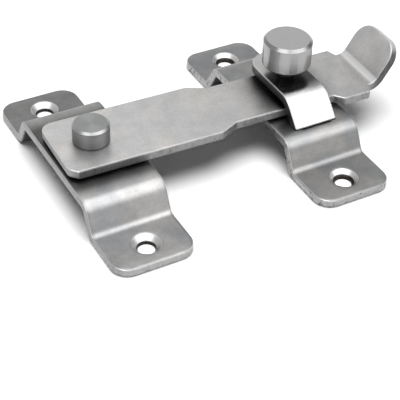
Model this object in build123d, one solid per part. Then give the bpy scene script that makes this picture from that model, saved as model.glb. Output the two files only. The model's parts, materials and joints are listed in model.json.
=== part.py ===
from build123d import *

# Flip latch for a barn door: a flat bar swings on a headed pin and drops into a hook-shaped
# keeper, and a push knob on the keeper locks it there. All sizes are in millimetres.
# X runs from the pivot pin to the keeper, Y is up the door once fitted, Z stands off the door.
# The origin is on the pivot pin's axis, on the plane the two brackets are screwed to.
import os
from math import asin, atan2, cos, degrees, hypot, radians, sin, tan

os.makedirs("parts", exist_ok=True)

# stock and edge finish
PLATE = 2.5                 # brackets, bar and keeper are all cut from the same plate
EDGE_R = 0.3                # tumbled edge of the plate pieces

# brackets, both alike but for what is fixed to their raised tops
BRACKET_W = 23.6
BRACKET_L = 82.0
BRACKET_PITCH = 62.0        # pivot pin axis to the middle of the catch bracket
RAISE = 10.5                # top of the raised part above the door
FLAT_HALF = 18.5            # half length of the flat raised top
BEND_R = 1.6                # inner radius of the bends at the raised top and at the foot
WEB_ANGLE = 61.5            # slope of the web between foot and raised top, degrees
FOOT_CORNER_R = 5.0
SCREW_END = 7.6             # middle of a screw hole to the end of its foot
SCREW_HOLE_D = 4.8
COUNTERSINK_D = 8.3
COUNTERSINK_ANGLE = 90.0

# stack on the raised top
BAR_GAP = 0.8               # underside of the bar above the raised top
BAR_Z = RAISE + BAR_GAP
BAR_TOP = BAR_Z + PLATE

# latch bar, in its own frame before it is turned to rest against the keeper
BAR_W = 24.0
BAR_BACK = 10.8             # square end behind the pivot axis
BAR_CORNER_R = 3.7          # corner behind the pin on the keeper's open side
BAR_CORNER_CUT = 2.3        # the other one is cut off at 45 degrees
CUT_BLEND_R = (2.5, 0.4)    # where the cut meets the end and the long edge
NECK_W = 18.8
NECK_BEFORE = (27.5, 22.0)  # before the keeper's middle: full width ends, neck begins
NECK_PAST = (10.1, 12.5)    # past the keeper's middle: neck ends, full width begins
NECK_BLEND_R = 0.6
SHOULDER_PAST = (21.2, 22.2)    # past it: full width ends, tab width begins
SHOULDER_BLEND_R = 0.8
TAB_ROOT_R = 0.5            # corner between shoulder and tab
TAB_PAST = 22.7             # past it: the bend begins
TAB_W = 17.8
TAB_BEND_R = 3.2            # upper radius of the tab's bend
TAB_ANGLE = 58.0
TAB_LENGTH = 10.7           # straight part past the bend
TAB_TIP_R = 5.7
NECK_GAP = 0.08             # neck to the keeper's leg, level with the bar's top, when the bar rests there

# pivot pin and its washer
PIN_HEAD_D = 10.4
PIN_HEAD_H = 5.6
PIN_HEAD_CHAMFER = 0.6
PIN_SHANK_D = 6.0
PIN_TAIL_D = 8.8
PIN_TAIL_H = 1.4
WASHER_D = 12.0
RUN_CLEARANCE = 0.05        # radial and end play of the pieces that turn or slide
SEAT_CLEARANCE = 0.02       # radial gap of the pieces that are staked or pressed

# keeper, a hook of plate standing over the bar's neck
KEEPER_W = 13.5
KEEPER_TOP = 17.7           # top face above the door
KEEPER_END = 12.1           # far end of the top limb, a full half round
KEEPER_BEND_Y = -8.7        # where the top limb starts to bend down
KEEPER_BEND_R = 6.0         # outer radius
KEEPER_ANGLE = 47.5         # slope of the leg
TENON_W = 10.0
TENON_T = 2.4               # across the bracket
TENON_INSET = 0.4           # inner face of the tenon behind the foot of the leg
SLOT_SHOWS = 0.15           # the slot reaches this far out from under the leg
SLOT_CORNER_R = 0.8
SLOT_RIM_R = 0.25           # rounded rim of the slot on the raised top

# lock: a headed pin slides in the keeper, a knob is pressed on its upper end
KNOB_D = 14.2
KNOB_H = 8.3
KNOB_LIFT = 3.4             # knob above the keeper when it is up
KNOB_CHAMFER = 0.8
KNOB_FOOT_R = 0.6
KNOB_BORE_DEPTH = 5.0
LOCK_STEM_D = 5.0
LOCK_TIP_D = 6.5
LOCK_TIP_GAP = 0.35         # tip above the bar when the knob is up
LOCK_TIP_CHAMFER = 0.5
LOCK_SEAT = 2.1             # depth of the seat in the underside of the keeper
LOCK_HOLE_CLEARANCE = 0.10  # radial, tip in the bar's hole

HALF = 0.5
OVERLAP = 0.5               # how far a boss reaches into what it stands on
BEYOND = 1.0                # how far a cut reaches past a face
THROUGH = 60.0              # long enough to cut right through
NEAR = 0.01                 # for picking edges and corners by their place


def plate_profile(points):
    """Closed outline in the YZ plane from (kind, points) runs of lines and arcs."""
    edges = []
    for kind, run in points:
        if kind == "line":
            edges.append(Edge.make_line(*[Vector(0, y, z) for y, z in run]))
        else:
            edges.append(Edge.make_three_point_arc(*[Vector(0, y, z) for y, z in run]))
    return Face(Wire(edges))


def around(cy, cz, r, deg):
    """Point on an arc in the YZ plane, deg measured from straight up towards +Y."""
    return (cy + r * sin(radians(deg)), cz + r * cos(radians(deg)))


def bracket_blank():
    """Hat-shaped strip with rounded feet and two countersunk screw holes, centred on X = 0."""
    web = radians(WEB_ANGLE)
    outer_r = BEND_R + PLATE
    top_c = (FLAT_HALF, RAISE - outer_r)
    web_top = around(*top_c, outer_r, WEB_ANGLE)
    foot_cz = PLATE + BEND_R
    # the foot bend is tangent to the web line that leaves the shoulder
    foot_cy = web_top[0] + (BEND_R - (foot_cz - web_top[1]) * cos(web)) / sin(web)
    foot_c = (foot_cy, foot_cz)
    end = BRACKET_L * HALF

    def half(s):
        def p(q):
            return (s * q[0], q[1])

        def bend(centre, r, start, stop):
            mid = (start + stop) * HALF
            return [p(around(*centre, r, a)) for a in (start, mid, stop)]

        upper = [
            ("arc", bend(top_c, outer_r, 0, WEB_ANGLE)),
            ("line", [p(web_top), p(around(*foot_c, BEND_R, 180 + WEB_ANGLE))]),
            ("arc", bend(foot_c, BEND_R, 180 + WEB_ANGLE, 180)),
            ("line", [p((foot_cy, PLATE)), p((end, PLATE))]),
            ("line", [p((end, PLATE)), p((end, 0))]),
            ("line", [p((end, 0)), p((foot_cy, 0))]),
            ("arc", bend(foot_c, outer_r, 180, 180 + WEB_ANGLE)),
            ("line", [p(around(*foot_c, outer_r, 180 + WEB_ANGLE)),
                      p(around(*top_c, BEND_R, WEB_ANGLE))]),
            ("arc", bend(top_c, BEND_R, WEB_ANGLE, 0)),
        ]
        return upper

    under = RAISE - PLATE
    outline = [("line", [(-FLAT_HALF, RAISE), (FLAT_HALF, RAISE)])]
    outline += half(1)
    outline += [("line", [(FLAT_HALF, under), (-FLAT_HALF, under)])]
    outline += [(k, run[::-1]) for k, run in half(-1)[::-1]]
    strip = extrude(plate_profile(outline), BRACKET_W, dir=(1, 0, 0))
    strip = Pos(-BRACKET_W * HALF, 0, 0) * strip
    corners = [e for e in strip.edges().filter_by(Axis.Z) if abs(abs(e.center().Y) - end) < HALF]
    strip = fillet(corners, FOOT_CORNER_R)
    rim = [e for e in strip.edges() if not is_upright(e) and not crosses(e)]
    strip = fillet(rim, EDGE_R)
    for y in (SCREW_END - end, end - SCREW_END):
        strip -= Pos(0, y, 0) * Cylinder(SCREW_HOLE_D * HALF, THROUGH)
        depth = (COUNTERSINK_D - SCREW_HOLE_D) * HALF / tan(radians(COUNTERSINK_ANGLE * HALF))
        sink = Cone(SCREW_HOLE_D * HALF, COUNTERSINK_D * HALF, depth,
                    align=(Align.CENTER, Align.CENTER, Align.MAX))
        strip -= Pos(0, y, PLATE) * sink
    return strip


def is_upright(edge):
    """True for the short edges that stand across the plate's thickness."""
    box = edge.bounding_box().size
    return box.X < NEAR and box.Y < NEAR


def crosses(edge):
    """True for the bend lines that run straight across the strip, short of its ends."""
    return abs(edge.length - BRACKET_W) < NEAR and abs(edge.center().Y) < BRACKET_L * HALF - NEAR


def disc(r, z0, z1):
    return Pos(0, 0, z0) * Cylinder(r, z1 - z0, align=(Align.CENTER, Align.CENTER, Align.MIN))


# where the keeper's leg bends down and meets the raised top
leg = radians(KEEPER_ANGLE)
bend_y, bend_z = KEEPER_BEND_Y, KEEPER_TOP - KEEPER_BEND_R


def keeper_arc(r):
    return [around(bend_y, bend_z, r, a) for a in (0, -KEEPER_ANGLE * HALF, -KEEPER_ANGLE)]


outer_arc, inner_arc = keeper_arc(KEEPER_BEND_R), keeper_arc(KEEPER_BEND_R - PLATE)
foot_out = outer_arc[2][0] - (outer_arc[2][1] - RAISE) / tan(leg)
foot_in = inner_arc[2][0] - (inner_arc[2][1] - RAISE) / tan(leg)
tenon_in = foot_in - TENON_INSET
tenon_out = tenon_in - TENON_T

# pivot bracket
pivot_bracket = bracket_blank()
pivot_bracket -= Cylinder(PIN_SHANK_D * HALF + SEAT_CLEARANCE, THROUGH)

# catch bracket with the slot the keeper's tenon is staked in
slot_w = TENON_W + 2 * RUN_CLEARANCE
slot_in = tenon_in + RUN_CLEARANCE
slot_out = foot_out - SLOT_SHOWS
slot_y = (slot_in + slot_out) * HALF
slot_plan = RectangleRounded(slot_w, slot_in - slot_out, SLOT_CORNER_R)
catch_bracket = bracket_blank()
catch_bracket -= Pos(0, slot_y, 0) * extrude(slot_plan, RAISE + BEYOND)
slot_rim = [e for e in catch_bracket.edges()
            if e.center().Z > RAISE - PLATE * HALF and e.length < slot_w
            and abs(e.center().X) < slot_w * HALF + NEAR
            and slot_out - NEAR < e.center().Y < slot_in + NEAR
            and e.bounding_box().size.Z < PLATE * HALF]
catch_bracket = fillet(slot_rim, SLOT_RIM_R)
catch_bracket = Pos(BRACKET_PITCH, 0, 0) * catch_bracket

# latch bar: flat blank with its neck, then the thumb tab bent up at the end
half_w = BAR_W * HALF
half_n = NECK_W * HALF
half_t = TAB_W * HALF
neck_start = [BRACKET_PITCH - x for x in NECK_BEFORE]
neck_end = [BRACKET_PITCH + x for x in NECK_PAST]
shoulder = [BRACKET_PITCH + x for x in SHOULDER_PAST]
bend_c = (BRACKET_PITCH + TAB_PAST, BAR_TOP + TAB_BEND_R)
tab_out_r = TAB_BEND_R + PLATE


def tab_point(r, deg, along=0.0):
    a = radians(deg)
    return Vector(bend_c[0] + r * sin(a) + along * cos(a), 0, bend_c[1] - r * cos(a) + along * sin(a))


def tab_bend(r):
    return Edge.make_three_point_arc(tab_point(r, 0), tab_point(r, TAB_ANGLE * HALF), tab_point(r, TAB_ANGLE))


tip_up = tab_point(TAB_BEND_R, TAB_ANGLE, TAB_LENGTH)
tip_out = tab_point(tab_out_r, TAB_ANGLE, TAB_LENGTH)
bar_side = Face(Wire([
    Edge.make_line(Vector(-BAR_BACK, 0, BAR_Z), Vector(-BAR_BACK, 0, BAR_TOP)),
    Edge.make_line(Vector(-BAR_BACK, 0, BAR_TOP), tab_point(TAB_BEND_R, 0)),
    tab_bend(TAB_BEND_R),
    Edge.make_line(tab_point(TAB_BEND_R, TAB_ANGLE), tip_up),
    Edge.make_line(tip_up, tip_out),
    Edge.make_line(tip_out, tab_point(tab_out_r, TAB_ANGLE)),
    tab_bend(tab_out_r),
    Edge.make_line(tab_point(tab_out_r, 0), Vector(-BAR_BACK, 0, BAR_Z)),
]))
bar = Pos(0, -half_w, 0) * extrude(bar_side, BAR_W, dir=(0, 1, 0))
long_edge = [(neck_start[0], half_w), (neck_start[1], half_n), (neck_end[0], half_n),
             (neck_end[1], half_w), (shoulder[0], half_w), (shoulder[1], half_t),
             (tip_out.X + BEYOND, half_t)]
round_corner = (-BAR_BACK, half_w)
cut_end = (-BAR_BACK, BAR_CORNER_CUT - half_w)
cut_side = (BAR_CORNER_CUT - BAR_BACK, -half_w)
plan_pts = [cut_side, cut_end, round_corner] + long_edge + [(x, -y) for x, y in long_edge[::-1]]
plan = Face(Wire.make_polygon([Vector(x, y, 0) for x, y in plan_pts], close=True))


def plan_corners(face, xs):
    return [v for v in face.vertices() if any(abs(v.X - x) < NEAR for x in xs)]


def plan_corner(face, point):
    return [v for v in face.vertices() if abs(v.X - point[0]) < NEAR and abs(v.Y - point[1]) < NEAR]


plan = fillet(plan_corner(plan, round_corner), BAR_CORNER_R)
plan = fillet(plan_corner(plan, cut_end), CUT_BLEND_R[0])
plan = fillet(plan_corner(plan, cut_side), CUT_BLEND_R[1])
plan = fillet(plan_corners(plan, neck_start + neck_end), NECK_BLEND_R)
plan = fillet(plan_corners(plan, shoulder[:1]), SHOULDER_BLEND_R)
plan = fillet(plan_corners(plan, shoulder[1:]), TAB_ROOT_R)
bar = bar & extrude(plan, THROUGH, dir=(0, 0, 1))
tips = [e for e in bar.edges() if abs(e.length - PLATE) < NEAR and e.center().Z > tip_out.Z]
bar = fillet(tips, TAB_TIP_R)


def on_rim(edge):
    """Edges of the bar's two faces, not the ones that stand across the plate or mark a bend."""
    standing = abs(edge.length - PLATE) < NEAR
    bend_line = abs(edge.length - TAB_W) < NEAR
    return not standing and not bend_line


bar = fillet([e for e in bar.edges() if on_rim(e)], EDGE_R)
# the bar is turned until its neck lies against the far side of the keeper's leg
stop_x = BRACKET_PITCH + KEEPER_W * HALF
stop_y = foot_in + (BAR_TOP - RAISE) / tan(leg) + NECK_GAP
swing = atan2(stop_y, stop_x) + asin(half_n / hypot(stop_x, stop_y))
lock_along = BRACKET_PITCH * cos(swing)
lock_across = -BRACKET_PITCH * sin(swing)
bar -= Cylinder(PIN_SHANK_D * HALF + RUN_CLEARANCE, THROUGH)
bar -= Pos(lock_along, lock_across, 0) * Cylinder(LOCK_TIP_D * HALF + LOCK_HOLE_CLEARANCE, THROUGH)
latch_bar = Rot(0, 0, degrees(swing)) * bar

# pivot pin: turned head over the bar, shank through bar, washer and bracket, tail peened over
head_z = BAR_TOP + RUN_CLEARANCE
tail_z = RAISE - PLATE
pin_head = disc(PIN_HEAD_D * HALF, head_z, head_z + PIN_HEAD_H)
pin_head = chamfer(pin_head.edges().sort_by(Axis.Z)[-1], PIN_HEAD_CHAMFER)
pin_tail = disc(PIN_TAIL_D * HALF, tail_z - PIN_TAIL_H, tail_z)
pin_tail = fillet(pin_tail.edges().sort_by(Axis.Z)[0], PIN_TAIL_H * HALF)
pivot_pin = pin_head + disc(PIN_SHANK_D * HALF, tail_z - OVERLAP, head_z + OVERLAP) + pin_tail

# washer that keeps the bar off the bracket
pivot_washer = disc(WASHER_D * HALF, RAISE, BAR_Z - RUN_CLEARANCE)
pivot_washer -= Cylinder(PIN_SHANK_D * HALF + RUN_CLEARANCE, THROUGH)

# keeper: top limb with a round free end, sloping leg, tenon staked through the bracket
keeper_side = plate_profile([
    ("line", [(KEEPER_END, KEEPER_TOP), outer_arc[0]]),
    ("arc", outer_arc),
    ("line", [outer_arc[2], (foot_out, RAISE)]),
    ("line", [(foot_out, RAISE), (foot_in, RAISE)]),
    ("line", [(foot_in, RAISE), inner_arc[2]]),
    ("arc", inner_arc[::-1]),
    ("line", [inner_arc[0], (KEEPER_END, KEEPER_TOP - PLATE)]),
    ("line", [(KEEPER_END, KEEPER_TOP - PLATE), (KEEPER_END, KEEPER_TOP)]),
])
keeper = Pos(-KEEPER_W * HALF, 0, 0) * extrude(keeper_side, KEEPER_W, dir=(1, 0, 0))
ends = [e for e in keeper.edges().filter_by(Axis.Z) if e.center().Y > KEEPER_END - HALF]
keeper = fillet(ends, KEEPER_W * HALF - NEAR)


def on_keeper_rim(edge):
    low = edge.center().Z < RAISE + NEAR
    bend_line = edge.bounding_box().size.X > KEEPER_W - NEAR
    return not low and not bend_line and not is_upright(edge)


keeper = fillet([e for e in keeper.edges() if on_keeper_rim(e)], EDGE_R)
tenon_y = (tenon_in + tenon_out) * HALF
tenon_plan = RectangleRounded(TENON_W, TENON_T, SLOT_CORNER_R)
keeper += Pos(0, tenon_y, RAISE - PLATE) * extrude(tenon_plan, PLATE + OVERLAP)
keeper_seat = KEEPER_TOP - PLATE + LOCK_SEAT
keeper -= disc(LOCK_STEM_D * HALF + RUN_CLEARANCE, keeper_seat - OVERLAP, KEEPER_TOP + BEYOND)
keeper -= disc(LOCK_TIP_D * HALF + RUN_CLEARANCE, BAR_TOP, keeper_seat)
keeper_hook = Pos(BRACKET_PITCH, 0, 0) * keeper

# locking pin, up: its head is in the keeper's seat and its tip clears the bar
tip_low = BAR_TOP + LOCK_TIP_GAP
knob_z = KEEPER_TOP + KNOB_LIFT
lock_tip = disc(LOCK_TIP_D * HALF, tip_low, keeper_seat)
lock_tip = chamfer(lock_tip.edges().sort_by(Axis.Z)[0], LOCK_TIP_CHAMFER)
locking_pin = lock_tip + disc(LOCK_STEM_D * HALF, keeper_seat - OVERLAP, knob_z + KNOB_BORE_DEPTH)
locking_pin = Pos(BRACKET_PITCH, 0, 0) * locking_pin

# knob pressed on the locking pin
knob = disc(KNOB_D * HALF, knob_z, knob_z + KNOB_H)
knob = chamfer(knob.edges().sort_by(Axis.Z)[-1], KNOB_CHAMFER)
knob = fillet(knob.edges().sort_by(Axis.Z)[0], KNOB_FOOT_R)
knob -= disc(LOCK_STEM_D * HALF + SEAT_CLEARANCE, knob_z - BEYOND, knob_z + KNOB_BORE_DEPTH + SEAT_CLEARANCE)
lock_knob = Pos(BRACKET_PITCH, 0, 0) * knob

export_step(pivot_bracket, "parts/pivot_bracket.step")
export_step(catch_bracket, "parts/catch_bracket.step")
export_step(latch_bar, "parts/latch_bar.step")
export_step(pivot_pin, "parts/pivot_pin.step")
export_step(pivot_washer, "parts/pivot_washer.step")
export_step(keeper_hook, "parts/keeper_hook.step")
export_step(locking_pin, "parts/locking_pin.step")
export_step(lock_knob, "parts/lock_knob.step")
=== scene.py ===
# Looks of a barn door latch in satin stainless steel, on a white studio floor.
# Everything is in metres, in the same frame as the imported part. Tones are linear, and 1 is white.
import json
from collections import namedtuple
from math import cos, radians, sin

import bpy
from mathutils import Matrix, Vector

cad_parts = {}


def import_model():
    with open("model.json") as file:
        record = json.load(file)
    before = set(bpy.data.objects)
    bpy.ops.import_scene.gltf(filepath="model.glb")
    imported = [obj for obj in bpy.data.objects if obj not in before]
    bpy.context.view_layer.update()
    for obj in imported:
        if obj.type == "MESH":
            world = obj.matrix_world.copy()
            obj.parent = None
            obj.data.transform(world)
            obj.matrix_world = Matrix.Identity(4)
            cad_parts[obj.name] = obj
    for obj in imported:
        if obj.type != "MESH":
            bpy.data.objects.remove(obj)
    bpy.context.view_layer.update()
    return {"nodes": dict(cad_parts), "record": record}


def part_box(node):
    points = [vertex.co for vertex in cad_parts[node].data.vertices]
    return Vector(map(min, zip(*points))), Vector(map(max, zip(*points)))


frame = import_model()

MM = 1000.0                         # Object coordinates are in metres, patterns are sized in millimetres

# camera, as fitted to the photograph
AIM = Vector((0.01949, -0.02672, 0.005))
CAMERA_AZIMUTH = radians(30.58)     # camera swung from straight in front towards the pivot side
CAMERA_ELEVATION = radians(39.51)
CAMERA_ROLL = radians(2.66)
CAMERA_DISTANCE = 0.32463
LENS = 108.7                        # on a 36 mm sensor
SENSOR = 36.0

# floor
FLOOR_SIZE = 6.0
FLOOR_BOUNCE = 0.80                 # colour that lights the object from below
FLOOR_SEEN = 1.22                   # colour that camera and metal see, so lit floor is white

# studio light: plain surfaces have a wide soft lamp overhead, and metal mirrors the room in its place
OVERHEAD_SIZE = radians(54)         # angle the lamp fills, seen from the object
OVERHEAD_STRENGTH = 2.85
AMBIENT = 0.12                      # what plain surfaces get from walls and ceiling
WALL = 1.05                         # what metal sees of the wall beyond the object
ROOM = 0.85                         # and of the room behind the camera
WALL_EDGE = (-0.30, 0.55)           # cosines off straight ahead between which the room turns into the wall

# A place in the room that is lighter or darker, its azimuth turned from +X to +Y. It has its full strength
# as far as core from its middle, and none beyond reach.
Place = namedtuple("Place", "azimuth elevation core reach strength")
BROAD_WINDOW = Place(radians(-38), radians(58), radians(8), radians(54), 2.8)       # high on the right
SMALL_WINDOW = Place(radians(-150), radians(50), radians(8), radians(26), 3.0)      # behind the camera
DIM_CORNER = Place(radians(140), 0.0, 0.0, radians(55), 0.14)                       # low down on the left
DARK_SIDE = Place(radians(8), radians(34), radians(14.07), radians(36), 0.65)       # beside the broad window

# A plate's face is told by how much of its normal lies along an axis. Each pair is where the change from one
# kind to the other starts and where it is complete.
CUT_RISE = (0.10, 0.44)             # a cut edge's normal rises less than this
CUT_ACROSS = (0.50, 0.88)           # or lies more across the strip
RIM = (0.12, 0.40)                  # a rim's leans more across the strip or along the latch
NOT_RIM = (0.75, 0.80)              # but not as far along the latch as the tab's
UNDERSIDE = (-0.75, -0.20)          # upward share, the same on turned pieces
BENT = (0.90, 0.995)                # rise of a face off the level
STEEP = (0.55, 0.85)                # rise of the steepest bends and webs
END_RIM = (0.05, 0.30)              # share along the latch of a rim at the end of a strip
END_CUT = (0.45, 0.80)              # and of a cut edge there
CHAMFER = (0.10, 0.45)              # upward share of a turned piece's bevel
TURNED_END = (0.85, 0.98)           # and of its end

# Where painted shade and painted highlights lie, and where the screws sink in. A tone is a factor on the
# piece's own: it is full at the first of the two places and gone at the second. Lengths are in millimetres.
Band = namedtuple("Band", "inner outer tone")               # painted shade and highlights, both ways along y from the middle of the latch
Patch = namedtuple("Patch", "x y inner outer tone")         # painted shade round a point
Stretch = namedtuple("Stretch", "low high tone")            # painted shade along an axis
Shade = namedtuple("Shade", "dark light tone")              # painted shade from one point to another, in metres
PaintedGapShade = namedtuple("PaintedGapShade", "reach shut free tone start end")   # shade painted by the share of sky that pieces in reach leave
Sinks = namedtuple("Sinks", "x y bore")                     # screw holes at y and -y, their bores painted dark as shade as far as bore

SINK_EDGE = (4.0, 4.2)              # radius where a countersink ends, mm
BORE_SOFTNESS = 0.1                 # mm either way over which the painted shade in its bore fades
BAR_TOP = 0.0138                    # the bar's upper face
GRIME = (0.00015, 0.00050)          # grime fades between these heights above a joint
RING_PITCH = 0.16                   # tool marks on turned pieces, mm
RING_TURN = 0.25                    # their highlight is stretched across them


class Sock:
    """A node's output. Arithmetic on it adds Math nodes."""

    def __init__(self, graph, socket):
        self.graph, self.socket = graph, socket

    def math(self, operation, *others):
        inputs = dict(enumerate((self,) + others))
        return self.graph.node("ShaderNodeMath", {"operation": operation}, inputs)[0]

    def __add__(self, other):
        return self.math("ADD", other)

    def __sub__(self, other):
        return self.math("SUBTRACT", other)

    def __mul__(self, other):
        return self.math("MULTIPLY", other)

    def __rsub__(self, other):
        return self.graph.node("ShaderNodeMath", {"operation": "SUBTRACT"}, {0: other, 1: self})[0]

    __radd__ = __add__
    __rmul__ = __mul__

    def step(self, low, high):
        """0 below low, 1 above high, smooth between."""
        return self.graph.node("ShaderNodeMapRange", {"interpolation_type": "SMOOTHSTEP"},
                               {"Value": self, "From Min": low, "From Max": high})[0]

    def lifted(self, tone):
        """0 becomes tone, and 1 stays 1."""
        return self * (1.0 - tone) + tone


class Node:
    def __init__(self, graph, node):
        self.graph, self.node = graph, node

    def __getitem__(self, output):
        return Sock(self.graph, self.node.outputs[output])


class Graph:
    """A node tree. Every node but plain arithmetic comes from node()."""

    def __init__(self, tree):
        self.tree = tree
        tree.nodes.clear()

    def node(self, kind, settings=None, inputs=None):
        node = self.tree.nodes.new(kind)
        for name, value in (settings or {}).items():
            setattr(node, name, value)
        for name, value in (inputs or {}).items():
            if isinstance(value, Sock):
                self.tree.links.new(value.socket, node.inputs[name])
            else:
                node.inputs[name].default_value = value
        return Node(self, node)

    def parts(self, vector):
        """A vector's x, y and z, as outputs 0, 1 and 2."""
        return self.node("ShaderNodeSeparateXYZ", None, {0: vector})

    def mix(self, factor, one, other):
        """Colour between two colours, by factor."""
        inputs = {"Factor": factor, 6: one, 7: other}
        return self.node("ShaderNodeMix", {"data_type": "RGBA"}, inputs)[2]

    def scaled(self, colour, factor):
        """Colour times a number, channel by channel."""
        colour = colour if isinstance(colour, Sock) else colour[:3]
        return self.node("ShaderNodeVectorMath", {"operation": "SCALE"}, {0: colour, "Scale": factor})[0]

    def noise(self, place, scale, detail=2.0, roughness=0.5, stretch=(1.0, 1.0, 1.0)):
        """Noise with about scale features to a millimetre, 0 to 1."""
        place = self.node("ShaderNodeMapping", None, {"Vector": place, "Scale": [MM * s for s in stretch]})[0]
        inputs = {"Vector": place, "Scale": scale, "Detail": detail, "Roughness": roughness}
        return self.node("ShaderNodeTexNoise", None, inputs)[0]

    def along(self, place, start, end):
        """0 at start and 1 at end, smooth between and level beyond."""
        start, end = Vector(start), Vector(end)
        way = (end - start) / (end - start).length_squared
        inputs = {0: place, 1: tuple(way)}
        reach = self.node("ShaderNodeVectorMath", {"operation": "DOT_PRODUCT"}, inputs)["Value"]
        return reach.step(start.dot(way), end.dot(way))

    def grimed(self, colour, place, seam):
        """Colour, darkened where the piece meets another at height seam."""
        height = self.parts(place)[2]
        return self.mix(height.step(seam + GRIME[0], seam + GRIME[1]), GRIMY_STEEL, colour)

    def bump(self, height, strength, distance, **inputs):
        """Normal of a surface whose height varies by as much as distance."""
        inputs.update(Height=height, Strength=strength, Distance=distance)
        return self.node("ShaderNodeBump", None, inputs)[0]

    def steel(self, colour, rough, normal, anisotropic=0.0):
        """Bare metal is the surface."""
        inputs = {"Base Color": colour, "Metallic": 1.0, "Roughness": rough, "Normal": normal}
        if anisotropic:
            inputs.update({"Anisotropic": anisotropic, "Anisotropic Rotation": RING_TURN})
        self.surface(self.node("ShaderNodeBsdfPrincipled", None, inputs))

    def surface(self, shader, output="ShaderNodeOutputMaterial"):
        self.node(output, None, {"Surface": shader[0]})


def length(x, y):
    """Length of the vector (x, y)."""
    return (x * x + y * y).math("SQRT")


def grey(value, warm=0.0):
    """Neutral grey, pulled a little towards red and away from blue by warm."""
    return (value * (1 + warm), value, value * (1 - warm), 1.0)


SINK_STEEL = grey(0.46)
BORE_PAINTED_SHADE = grey(0.025, 0.12)
RIM_STEEL = grey(0.56)
# undersides are painted dark, as shade
UNDERSIDE_PAINTED_SHADE = grey(0.18)
GRIMY_STEEL = grey(0.06, 0.05)


def material(name):
    made = bpy.data.materials.new(name)
    made.use_nodes = True
    return made, Graph(made.node_tree)


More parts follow.
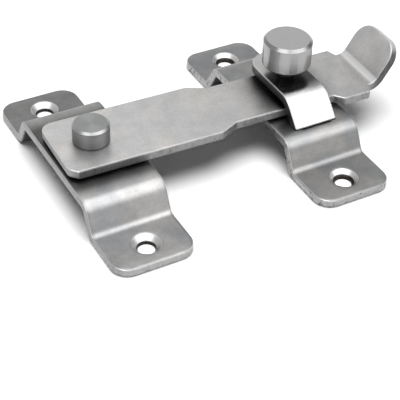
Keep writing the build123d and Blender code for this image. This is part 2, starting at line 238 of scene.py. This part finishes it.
class Plate:
    """Tumbled plate: satin faces with faint clouds, burnished rims, sheared edges and a rougher underside
    painted dark as shade.

    face is the two tones that stains mix. cut_end is the tone of the edges that face along the latch,
    cut_side of those that face up or down the door. wear_and_painted_light is any of the settings below,
    which hold both real marks and painted shade and highlights.
    """

    strip = 0           # axis across the strip, 0 for x and 1 for y, which no bend tilts a face towards
    clouds = 0.2        # how strong the clouds are
    brushing = 0.12     # and the brush lines, which bends show
    speckle = 0.0       # and the dark pits of a torn edge
    rounding = 0.9      # how far the tumbled rims look rounded, mm
    slope = 1.0         # how much lighter a steep stretch is painted, a painted highlight
    shade = None        # painted Shade of the faces
    painted_light_bands = ()          # Bands of painted shade and painted highlight on the faces
    painted_shade_patches = ()        # Patches of painted shade on the faces
    gap = None          # PaintedGapShade between the faces and the pieces above, painted where they shut out the sky, which begins from start to end along x
    sinks = None        # Sinks of the screws, their bores painted dark as shade
    rim_side = None     # tone of the rounded rim along the long edges, where it isn't burnished
    painted_edge_shade = None      # Stretch along x below which the long edges are painted darker as shade, over the pivot bracket
    painted_dark_tip = None          # Stretch along x to an end where all cut edges have its tone, a painted shade
    seam = None         # height of a joint in metres, dark with grime just above it

    def __init__(self, name, face, cut_end, cut_side, rough, **wear_and_painted_light):
        self.face, self.cut_end, self.cut_side, self.rough = face, cut_end, cut_side, rough
        for setting, value in wear_and_painted_light.items():
            setattr(self, setting, value)
        self.material, self.g = material(name)
        at = self.g.node("ShaderNodeTexCoord")
        self.place = at["Object"]
        spot = self.g.parts(self.place)
        self.x, self.y = spot[0] * MM, spot[1] * MM
        turned = self.g.parts(at["Normal"])
        self.rise, self.endwise = turned[2].math("ABSOLUTE"), turned[0].math("ABSOLUTE")
        across = turned[self.strip].math("ABSOLUTE")
        self.edge = (1.0 - self.rise.step(*CUT_RISE)).math("MAXIMUM", across.step(*CUT_ACROSS))
        lean = across.math("MAXIMUM", self.endwise * (1.0 - self.endwise.step(*NOT_RIM)))
        self.rim = lean.step(*RIM) * (1.0 - self.edge)
        self.below = 1.0 - turned[2].step(*UNDERSIDE)
        self.bent = (1.0 - self.rise.step(*BENT)) * (1.0 - self.edge)
        self.cloud = self.g.noise(self.place, 0.22, detail=3.0)
        self.grain = self.g.noise(self.place, 1.1, detail=4.0, roughness=0.70)
        self.shear = self.g.noise(self.place, 1.0, detail=3.0, roughness=0.65, stretch=(1.0, 1.0, 0.55))
        self.brush = self.g.noise(self.place, 2.0, detail=3.0, roughness=0.6, stretch=(0.05, 1.0, 1.0))
        self.finish()

    def lightness(self):
        """How light the faces are, as a factor on their tones, painted shade and highlights included."""
        tone = 0.97 + (self.cloud - 0.5) * self.clouds + (self.grain - 0.5) * 0.38
        tone = tone + (self.brush - 0.5) * self.bent * self.brushing
        if self.slope != 1.0:
            tone = tone * self.rise.step(*STEEP).lifted(self.slope)
        if self.shade:
            tone = tone * self.g.along(self.place, self.shade.dark, self.shade.light).lifted(self.shade.tone)
        for band in self.painted_light_bands:
            tone = tone * self.y.math("ABSOLUTE").step(band.inner, band.outer).lifted(band.tone)
        for patch in self.painted_shade_patches:
            away = length(self.x - patch.x, self.y - patch.y)
            tone = tone * away.step(patch.inner, patch.outer).lifted(patch.tone)
        if self.gap:
            inputs = {"Distance": self.gap.reach / MM}
            sky = self.g.node("ShaderNodeAmbientOcclusion", {"samples": 8}, inputs)["AO"]
            clear = 1.0 - self.x.step(self.gap.start, self.gap.end)
            tone = tone * sky.step(self.gap.shut, self.gap.free).math("MAXIMUM", clear).lifted(self.gap.tone)
        return tone

    def edge_with_painted_shade(self, tone):
        """A long edge's tone, painted darker as shade below the stretch."""
        if not self.painted_edge_shade:
            return tone
        return self.g.scaled(tone, self.x.step(self.painted_edge_shade.low, self.painted_edge_shade.high).lifted(self.painted_edge_shade.tone))

    def rims(self):
        """Colour of the rounded rims."""
        if not self.rim_side:
            return RIM_STEEL
        return self.g.mix(self.endwise.step(*END_RIM), self.edge_with_painted_shade(self.rim_side), RIM_STEEL)

    def cuts(self):
        """Colour of the sheared edges."""
        colour = self.g.mix(self.endwise.step(*END_CUT), self.edge_with_painted_shade(self.cut_side), self.cut_end)
        if self.painted_dark_tip:
            colour = self.g.mix(self.x.step(self.painted_dark_tip.low, self.painted_dark_tip.high), colour, self.painted_dark_tip.tone)
        pits = (1.0 - self.shear.step(0.36, 0.46)) * self.speckle
        return self.g.scaled(colour, (0.70 + self.shear * 0.60) * (1.0 - pits * 0.75))

    def sunk(self, colour):
        """Colour, with the countersinks and the painted shade of their bores."""
        away = length(self.x - self.sinks.x, self.y.math("ABSOLUTE") - self.sinks.y)
        bore = away.step(self.sinks.bore - BORE_SOFTNESS, self.sinks.bore + BORE_SOFTNESS)
        return self.g.mix(away.step(*SINK_EDGE), self.g.mix(bore, BORE_PAINTED_SHADE, SINK_STEEL), colour)

    def finish(self):
        stain = self.g.noise(self.place, 0.10, detail=2.0, roughness=0.4)
        colour = self.g.scaled(self.g.mix(stain.step(0.40, 0.60), *self.face), self.lightness())
        colour = self.g.mix(self.rim, colour, self.rims())
        colour = self.g.mix(self.edge, colour, self.cuts())
        if self.sinks:
            colour = self.sunk(colour)
        colour = self.g.mix(self.below, colour, UNDERSIDE_PAINTED_SHADE)
        if self.seam:
            colour = self.g.grimed(colour, self.place, self.seam)
        rough = self.rough + (self.grain - 0.5) * 0.05 + (self.cloud - 0.5) * 0.05
        rough = rough + self.edge * 0.10 + self.below * 0.15
        height = self.grain * (1.0 - self.edge) * 0.2 + self.brush * self.bent * 0.3
        height = height + self.shear * self.edge * 2.0
        rounded = self.g.node("ShaderNodeBevel", {"samples": 4}, {"Radius": self.rounding / MM})[0]
        self.g.steel(colour, rough, self.g.bump(height, 0.35, 0.00003, Normal=rounded))


def turned_steel(name, face, flank, chamfer, under, rough, axis, seam=None, painted_low_shade=None, anisotropic=0.6):
    """Turned on a lathe: fine rings about the axis, the highlight stretched across them.

    face is the tone of the end, flank that of the side, chamfer that of the bevel between them, under that
    of the end towards the door, painted dark as shade. seam is the height of a joint, dark with grime just
    above it. painted_low_shade is a Stretch of height, in metres, where the side is painted darker as shade.
    """
    made, g = material(name)
    at = g.node("ShaderNodeTexCoord")
    place = at["Object"]
    inputs = {"Vector": place, "Location": (-axis[0] * MM, -axis[1] * MM, 0.0), "Scale": (MM, MM, MM)}
    centred = g.parts(g.node("ShaderNodeMapping", None, inputs)[0])
    up = g.parts(at["Normal"])[2]
    feed = length(centred[0], centred[1]) + centred[2]
    inputs = {"W": feed, "Scale": 1 / RING_PITCH, "Detail": 3.0}
    rings = g.node("ShaderNodeTexNoise", {"noise_dimensions": "1D"}, inputs)[0]
    cloud = g.noise(place, 0.35, detail=2.0)
    speck = g.noise(place, 4.0, detail=3.0)
    tone = 0.89 + rings * 0.16 + cloud * 0.06
    if painted_low_shade:
        tone = tone * g.parts(place)[2].step(painted_low_shade.low, painted_low_shade.high).lifted(painted_low_shade.tone)
    colour = g.mix(up.step(*CHAMFER), flank, chamfer)
    colour = g.mix(up.step(*TURNED_END), colour, face)
    colour = g.mix(up.step(*UNDERSIDE), under, colour)
    if seam:
        colour = g.grimed(colour, place, seam)
    rough_here = rough + (rings - 0.5) * 0.08 + (speck - 0.5) * 0.03
    g.steel(g.scaled(colour, tone), rough_here, g.bump(rings, 0.25, 0.00002), anisotropic)
    return made


def screw_holes(mount, bore):
    """The countersinks of one of the record's bolt patterns."""
    pattern = next(m for m in frame["record"]["mounts"] if m["name"] == mount)
    return Sinks(pattern["pos_m"][0] * MM, pattern["dims"]["spacing_y_mm"] / 2, bore)


def dress():
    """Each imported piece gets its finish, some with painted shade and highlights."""
    # Painted light on the brackets: the pivot bracket is painted dark under the bar as its shadow, and
    # lighter just outside it as the bend's highlight. Each bracket is painted a little darker within 37.5 mm
    # of the middle, so the ends of the feet show a painted highlight.
    painted_foot_end_highlight = Band(inner=37.5, outer=39.5, tone=0.87)
    painted_bar_shadow = Band(inner=13.5, outer=19.0, tone=0.30)
    painted_bend_highlight = Band(inner=19.0, outer=21.0, tone=1.45)
    pivot = Plate("pivot bracket steel", (grey(0.31, -0.015), grey(0.355, 0.015)),
                  cut_end=grey(0.31), cut_side=grey(0.34), rough=0.34,
                  rounding=1.3, speckle=0.2, clouds=0.45, painted_light_bands=(painted_bar_shadow, painted_bend_highlight, painted_foot_end_highlight),
                  shade=Shade(dark=(0.0, 0.014, 0.0), light=(0.0, -0.016, 0.0), tone=0.62),
                  sinks=screw_holes("pivot_screws", bore=2.65))
    catch = Plate("catch bracket steel", (grey(0.245, -0.015), grey(0.288, 0.02)),
                  cut_end=grey(0.34), cut_side=grey(0.32), rough=0.30,
                  rounding=1.3, speckle=0.8, clouds=0.45, brushing=0.40, painted_light_bands=(painted_foot_end_highlight,),
                  sinks=screw_holes("catch_screws", bore=3.0))
    bar = Plate("bar steel", (grey(0.485, 0.0), grey(0.52, 0.025)),
                cut_end=grey(0.31), cut_side=grey(0.26), rough=0.40,
                # the tab's steep face is painted lighter, a painted highlight
                strip=1, rounding=0.7, slope=1.22, speckle=0.3, clouds=0.35, rim_side=grey(0.23),
                shade=Shade(dark=(0.075, 0.0, 0.0), light=(-0.010, 0.0, 0.0), tone=0.76),
                # painted shade on the bar where the keeper and the knob shut out the sky
                gap=PaintedGapShade(reach=12.0, shut=0.55, free=0.88, tone=0.03, start=20.0, end=35.0),
                # painted shade on the bar beside the keeper
                painted_shade_patches=(Patch(x=57.0, y=2.0, inner=5.0, outer=15.0, tone=0.78),),
                # painted shade on the long edges over the pivot bracket
                painted_edge_shade=Stretch(low=8.0, high=13.0, tone=0.55),
                # the tab's cut edges are painted near black as shade
                painted_dark_tip=Stretch(low=84.0, high=88.0, tone=grey(0.10)))
    keeper = Plate("keeper steel", (grey(0.43), grey(0.45, 0.01)),
                   # the keeper's edges that face along the latch are painted near black, as shade on the
                   # hook's sides
                   cut_end=grey(0.10), cut_side=grey(0.34), rough=0.235,
                   # painted shadow and reflection of the knob on the keeper's top
                   painted_shade_patches=(Patch(x=65.5, y=-1.0, inner=5.0, outer=11.4, tone=0.11),),
                   seam=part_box("catch_bracket")[1].z)
    low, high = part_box("lock_knob")
    pin_axis, knob_axis = (0.0, 0.0), ((low.x + high.x) / 2, (low.y + high.y) / 2)
    # the pin's side is painted darker towards the bar, as shade
    pin = turned_steel("pin steel", grey(0.27, -0.01), grey(0.19), grey(0.30), UNDERSIDE_PAINTED_SHADE, 0.36, pin_axis,
                       seam=BAR_TOP, painted_low_shade=Stretch(BAR_TOP, BAR_TOP + 0.0040, tone=0.75))
    # the knob's underside is painted near black and its side darker towards the keeper, both as shade
    knob = turned_steel("knob steel", grey(0.37), grey(0.35), grey(0.23), grey(0.05), 0.20, knob_axis,
                        painted_low_shade=Stretch(low.z, low.z + 0.0045, tone=0.70), anisotropic=0.2)
    # the locking pin is painted near black, standing in for the shade in the space under the knob
    lock = turned_steel("lock pin steel", grey(0.08), grey(0.08), grey(0.08), grey(0.05), 0.32, knob_axis)
    washer = turned_steel("washer steel", grey(0.25), grey(0.25), grey(0.25), UNDERSIDE_PAINTED_SHADE, 0.35, pin_axis)
    finish = {
        "pivot_bracket": pivot.material, "catch_bracket": catch.material, "latch_bar": bar.material,
        "keeper_hook": keeper.material, "pivot_pin": pin, "pivot_washer": washer, "locking_pin": lock,
        "lock_knob": knob}
    for name, made in finish.items():
        frame["nodes"][name].material_slots[0].material = made


def seen(g):
    """1 for rays from the camera, off metal and through glass."""
    path = g.node("ShaderNodeLightPath")
    return path["Is Camera Ray"].math("MAXIMUM", mirrored(path))


def mirrored(path):
    """1 for rays off metal and through glass."""
    return path["Is Glossy Ray"].math("MAXIMUM", path["Is Transmission Ray"])


def floor():
    mesh = bpy.data.meshes.new("studio_floor")
    half = FLOOR_SIZE / 2
    corners = [(-half, -half, 0), (half, -half, 0), (half, half, 0), (-half, half, 0)]
    mesh.from_pydata(corners, [], [(0, 1, 2, 3)])
    plane = bpy.data.objects.new("studio_floor", mesh)
    bpy.context.scene.collection.objects.link(plane)
    made, g = material("studio floor")
    bounce = g.node("ShaderNodeBsdfDiffuse", None, {"Color": grey(FLOOR_BOUNCE)})
    white = g.node("ShaderNodeBsdfDiffuse", None, {"Color": grey(FLOOR_SEEN)})
    g.surface(g.node("ShaderNodeMixShader", None, {0: seen(g), 1: bounce[0], 2: white[0]}))
    mesh.materials.append(made)


def strength_of(place, way):
    """Strength of a place in the room, seen in direction way."""
    level = cos(place.elevation)
    east, north = cos(place.azimuth) * level, sin(place.azimuth) * level
    nearness = way[0] * east + way[1] * north + way[2] * sin(place.elevation)
    return nearness.step(cos(place.reach), cos(place.core)) * place.strength


def world():
    """White to the camera. Metal sees the room, and plain surfaces an even dim light."""
    made = bpy.data.worlds.new("studio")
    bpy.context.scene.world = made
    made.use_nodes = True
    g = Graph(made.node_tree)
    path = g.node("ShaderNodeLightPath")
    way = g.parts(g.node("ShaderNodeTexCoord")["Generated"])
    beyond = (way[0] * sin(CAMERA_AZIMUTH) + way[1] * cos(CAMERA_AZIMUTH)).step(*WALL_EDGE)
    windows = strength_of(BROAD_WINDOW, way) + strength_of(SMALL_WINDOW, way)
    room = ROOM + (WALL - ROOM) * beyond + windows - strength_of(DIM_CORNER, way)
    room = room * (1.0 - strength_of(DARK_SIDE, way))
    metal, camera_ray = mirrored(path), path["Is Camera Ray"]
    lit = metal * room + (1.0 - metal) * AMBIENT
    strength = camera_ray + (1.0 - camera_ray) * lit
    shader = g.node("ShaderNodeBackground", None, {"Color": grey(1.0), "Strength": strength})
    g.surface(shader, "ShaderNodeOutputWorld")
    made.cycles.sampling_method = "NONE"


def overhead():
    """The wide lamp straight above. It lights the floor, and metal mirrors the room in its place."""
    data = bpy.data.lights.new("overhead", "SUN")
    data.angle = OVERHEAD_SIZE
    data.energy = OVERHEAD_STRENGTH
    lamp = bpy.data.objects.new("overhead", data)
    lamp.visible_glossy = False
    bpy.context.scene.collection.objects.link(lamp)


def camera():
    data = bpy.data.cameras.new("camera")
    data.lens = LENS
    data.sensor_width = SENSOR
    made = bpy.data.objects.new("camera", data)
    level = cos(CAMERA_ELEVATION)
    back = Vector((-sin(CAMERA_AZIMUTH) * level, -cos(CAMERA_AZIMUTH) * level, sin(CAMERA_ELEVATION)))
    place = Matrix.Translation(AIM + back * CAMERA_DISTANCE)
    turn = back.to_track_quat("Z", "Y").to_matrix().to_4x4()
    made.matrix_world = place @ turn @ Matrix.Rotation(CAMERA_ROLL, 4, "Z")
    bpy.context.scene.collection.objects.link(made)
    bpy.context.scene.camera = made


camera()
floor()
world()
overhead()
dress()
bpy.context.scene.view_settings.view_transform = "Standard"
